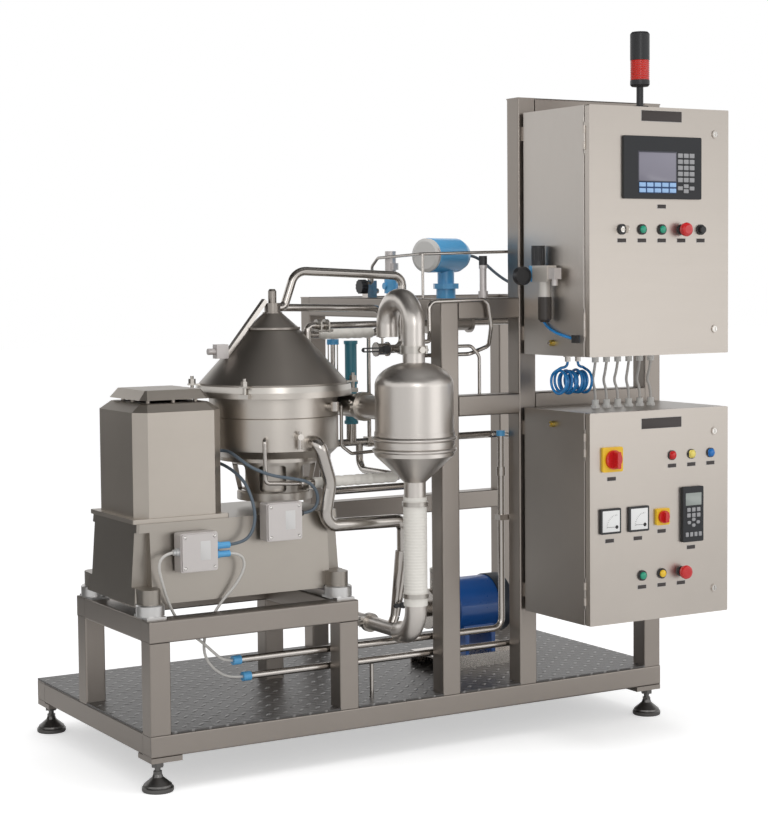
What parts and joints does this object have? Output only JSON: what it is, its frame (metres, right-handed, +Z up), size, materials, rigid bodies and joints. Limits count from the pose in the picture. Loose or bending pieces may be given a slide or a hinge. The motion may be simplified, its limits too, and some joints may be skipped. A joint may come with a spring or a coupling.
{
  "type": "centrifugal separator skid",
  "caption": "Skid-mounted disc-bowl centrifugal separator with cyclone, feed pump, pipework and two control cabinets.",
  "frame": {"origin": "on the floor, at the middle of the whole unit's footprint", "axes": "+X along the front to the right, +Y to the back, +Z up"},
  "size_m": [1.736, 1.2309, 2.057],
  "materials": {
    "frame_steel": "satin stainless box section",
    "checker_plate": "tear-pattern deck plate, dark",
    "feet_steel": "steel cups and studs on black rubber",
    "damper_metal": "machined, pale",
    "casing_steel": "bead-blasted stainless",
    "cover_steel": "satin stainless sheet",
    "motor_paint": "grey enamel",
    "machined_steel": "turned",
    "belt_rubber": "matt",
    "polished_steel": "polished stainless",
    "clamp_steel": "bright cast stainless",
    "hose_white": "cream food hose with moulded ribs",
    "cabinet_steel": "satin stainless sheet",
    "door_steel": "brushed stainless sheet",
    "black_plastic": "satin",
    "panel_black": "fine grain",
    "green_plastic": "moulded",
    "red_plastic": "moulded",
    "yellow_plastic": "moulded",
    "nickel": "nickel plated",
    "blue_paint": "gloss blue enamel",
    "dark_paint": "satin",
    "blue_cast": "powder coat",
    "box_aluminium": "die cast",
    "blue_hose": "polyurethane tube",
    "cable_grey": "cable sheath"
  },
  "bodies": {
    "skid": {"skid_rails": "frame_steel", "deck_plate": "checker_plate", "levelling_feet": "feet_steel", "stand_frame": "frame_steel", "panel_frame": "frame_steel", "machine_feet": "damper_metal", "machine_base": "casing_steel", "motor_cover": "cover_steel", "drive_motor": "motor_paint", "drive_belt": "belt_rubber", "spindle_bearings": "nickel", "bowl_casing": "casing_steel", "separator_hood": "casing_steel", "hood_clamps": "clamp_steel", "cyclone": "polished_steel", "vent_bend": "polished_steel", "drain_hose": "hose_white", "hose_and_pipe_clamps": "clamp_steel", "solids_pipes": "polished_steel", "upper_cabinet": "cabinet_steel", "lower_cabinet": "cabinet_steel", "stack_light": "black_plastic", "pump_motor": "blue_paint", "pump_fan_cover": "dark_paint", "pump_head": "polished_steel", "process_pipes": "polished_steel", "instruments": "blue_cast", "junction_boxes": "box_aluminium", "dark_cables": "black_plastic", "light_cables": "cable_grey", "air_hoses": "blue_hose"},
    "bowl": {"bowl_spindle": "machined_steel", "bowl": "machined_steel", "disc_stack": "machined_steel"},
    "motor_rotor": {"motor_rotor": "machined_steel"},
    "pump_rotor": {"pump_rotor": "machined_steel"},
    "upper_door": {"upper_door": "door_steel", "operator_panel": "panel_black", "upper_door_fittings": "black_plastic"},
    "lower_door": {"lower_door": "door_steel", "drive_keypad": "panel_black", "lower_door_fittings": "black_plastic"},
    "upper_door_lock_a": {"upper_door_lock_a": "nickel"},
    "upper_door_lock_b": {"upper_door_lock_b": "nickel"},
    "lower_door_lock_a": {"lower_door_lock_a": "nickel"},
    "lower_door_lock_b": {"lower_door_lock_b": "nickel"},
    "main_switch": {"main_switch": "red_plastic"},
    "selector_switch": {"selector_switch": "red_plastic"},
    "key_switch": {"key_switch": "nickel"},
    "left_start_button": {"left_start_button": "green_plastic"},
    "right_start_button": {"right_start_button": "green_plastic"},
    "reset_button": {"reset_button": "black_plastic"},
    "upper_stop_button": {"upper_stop_button": "red_plastic"},
    "lower_stop_button": {"lower_stop_button": "red_plastic"},
    "green_button": {"green_button": "green_plastic"},
    "yellow_button": {"yellow_button": "yellow_plastic"},
    "butterfly_handle": {"butterfly_handle": "black_plastic"},
    "drain_handle": {"drain_handle": "black_plastic"},
    "throttle_knob": {"throttle_knob": "black_plastic"},
    "regulator_knob": {"regulator_knob": "black_plastic"}
  },
  "joints": [
    {"name": "bowl_spin", "type": "hinge", "parent": "skid", "child": "bowl", "pos_m": [-0.347, 0.0095, 0.9], "axis": [0, 0, 1], "continuous": true},
    {"name": "motor_spin", "type": "hinge", "parent": "skid", "child": "motor_rotor", "pos_m": [-0.704, 0.0095, 0.85], "axis": [0, 0, 1], "continuous": true},
    {"name": "pump_spin", "type": "hinge", "parent": "skid", "child": "pump_rotor", "pos_m": [0.365, 0.1045, 0.34], "axis": [1, 0, 0], "continuous": true},
    {"name": "upper_door_hinge", "type": "hinge", "parent": "skid", "child": "upper_door", "pos_m": [0.34, -0.5545, 1.485], "axis": [0, 0, -1], "range_deg": [0, 120]},
    {"name": "lower_door_hinge", "type": "hinge", "parent": "skid", "child": "lower_door", "pos_m": [0.34, -0.5545, 0.678], "axis": [0, 0, -1], "range_deg": [0, 120]},
    {"name": "upper_door_lock_a_turn", "type": "hinge", "parent": "upper_door", "child": "upper_door_lock_a", "pos_m": [0.79, -0.5775, 1.205], "axis": [0, -1, 0], "range_deg": [0, 90]},
    {"name": "upper_door_lock_b_turn", "type": "hinge", "parent": "upper_door", "child": "upper_door_lock_b", "pos_m": [0.79, -0.5775, 1.765], "axis": [0, 1, 0], "range_deg": [0, 90]},
    {"name": "lower_door_lock_a_turn", "type": "hinge", "parent": "lower_door", "child": "lower_door_lock_a", "pos_m": [0.79, -0.5775, 0.448], "axis": [0, -1, 0], "range_deg": [0, 90]},
    {"name": "lower_door_lock_b_turn", "type": "hinge", "parent": "lower_door", "child": "lower_door_lock_b", "pos_m": [0.79, -0.5775, 0.908], "axis": [0, 1, 0], "range_deg": [0, 90]},
    {"name": "main_switch_turn", "type": "hinge", "parent": "lower_door", "child": "main_switch", "pos_m": [0.415, -0.5775, 0.846], "axis": [0, 1, 0], "range_deg": [0, 90]},
    {"name": "selector_turn", "type": "hinge", "parent": "lower_door", "child": "selector_switch", "pos_m": [0.594, -0.5775, 0.672], "axis": [0, 1, 0], "range_deg": [0, 60]},
    {"name": "key_turn", "type": "hinge", "parent": "upper_door", "child": "key_switch", "pos_m": [0.452, -0.5775, 1.491], "axis": [0, 1, 0], "range_deg": [0, 90]},
    {"name": "butterfly_handle_turn", "type": "hinge", "parent": "skid", "child": "butterfly_handle", "pos_m": [-0.025, -0.0785, 1.153], "axis": [0, -1, 0], "range_deg": [0, 90]},
    {"name": "drain_handle_turn", "type": "hinge", "parent": "skid", "child": "drain_handle", "pos_m": [-0.0375, -0.1785, 0.419], "axis": [0, -1, 0], "range_deg": [0, 90]},
    {"name": "throttle_knob_turn", "type": "hinge", "parent": "skid", "child": "throttle_knob", "pos_m": [0.07, 0.2105, 1.334], "axis": [-1, 0, 0], "range_deg": [0, 360]},
    {"name": "regulator_knob_turn", "type": "hinge", "parent": "skid", "child": "regulator_knob", "pos_m": [0.313, -0.3695, 1.4], "axis": [0, 0, 1], "range_deg": [0, 360]},
    {"name": "left_start_button_press", "type": "slide", "parent": "upper_door", "child": "left_start_button", "axis": [0, 1, 0], "range_m": [0, 0.004], "stiffness_N_per_m": 300},
    {"name": "right_start_button_press", "type": "slide", "parent": "upper_door", "child": "right_start_button", "axis": [0, 1, 0], "range_m": [0, 0.004], "stiffness_N_per_m": 300},
    {"name": "reset_button_press", "type": "slide", "parent": "upper_door", "child": "reset_button", "axis": [0, 1, 0], "range_m": [0, 0.004], "stiffness_N_per_m": 300},
    {"name": "green_button_press", "type": "slide", "parent": "lower_door", "child": "green_button", "axis": [0, 1, 0], "range_m": [0, 0.004], "stiffness_N_per_m": 300},
    {"name": "yellow_button_press", "type": "slide", "parent": "lower_door", "child": "yellow_button", "axis": [0, 1, 0], "range_m": [0, 0.004], "stiffness_N_per_m": 300},
    {"name": "upper_stop_button_press", "type": "slide", "parent": "upper_door", "child": "upper_stop_button", "axis": [0, 1, 0], "range_m": [0, 0.006]},
    {"name": "lower_stop_button_press", "type": "slide", "parent": "lower_door", "child": "lower_stop_button", "axis": [0, 1, 0], "range_m": [0, 0.006]}
  ],
  "couplings": [
    {"joint": "motor_spin", "follows": "bowl_spin", "ratio": 0.5}
  ]
}
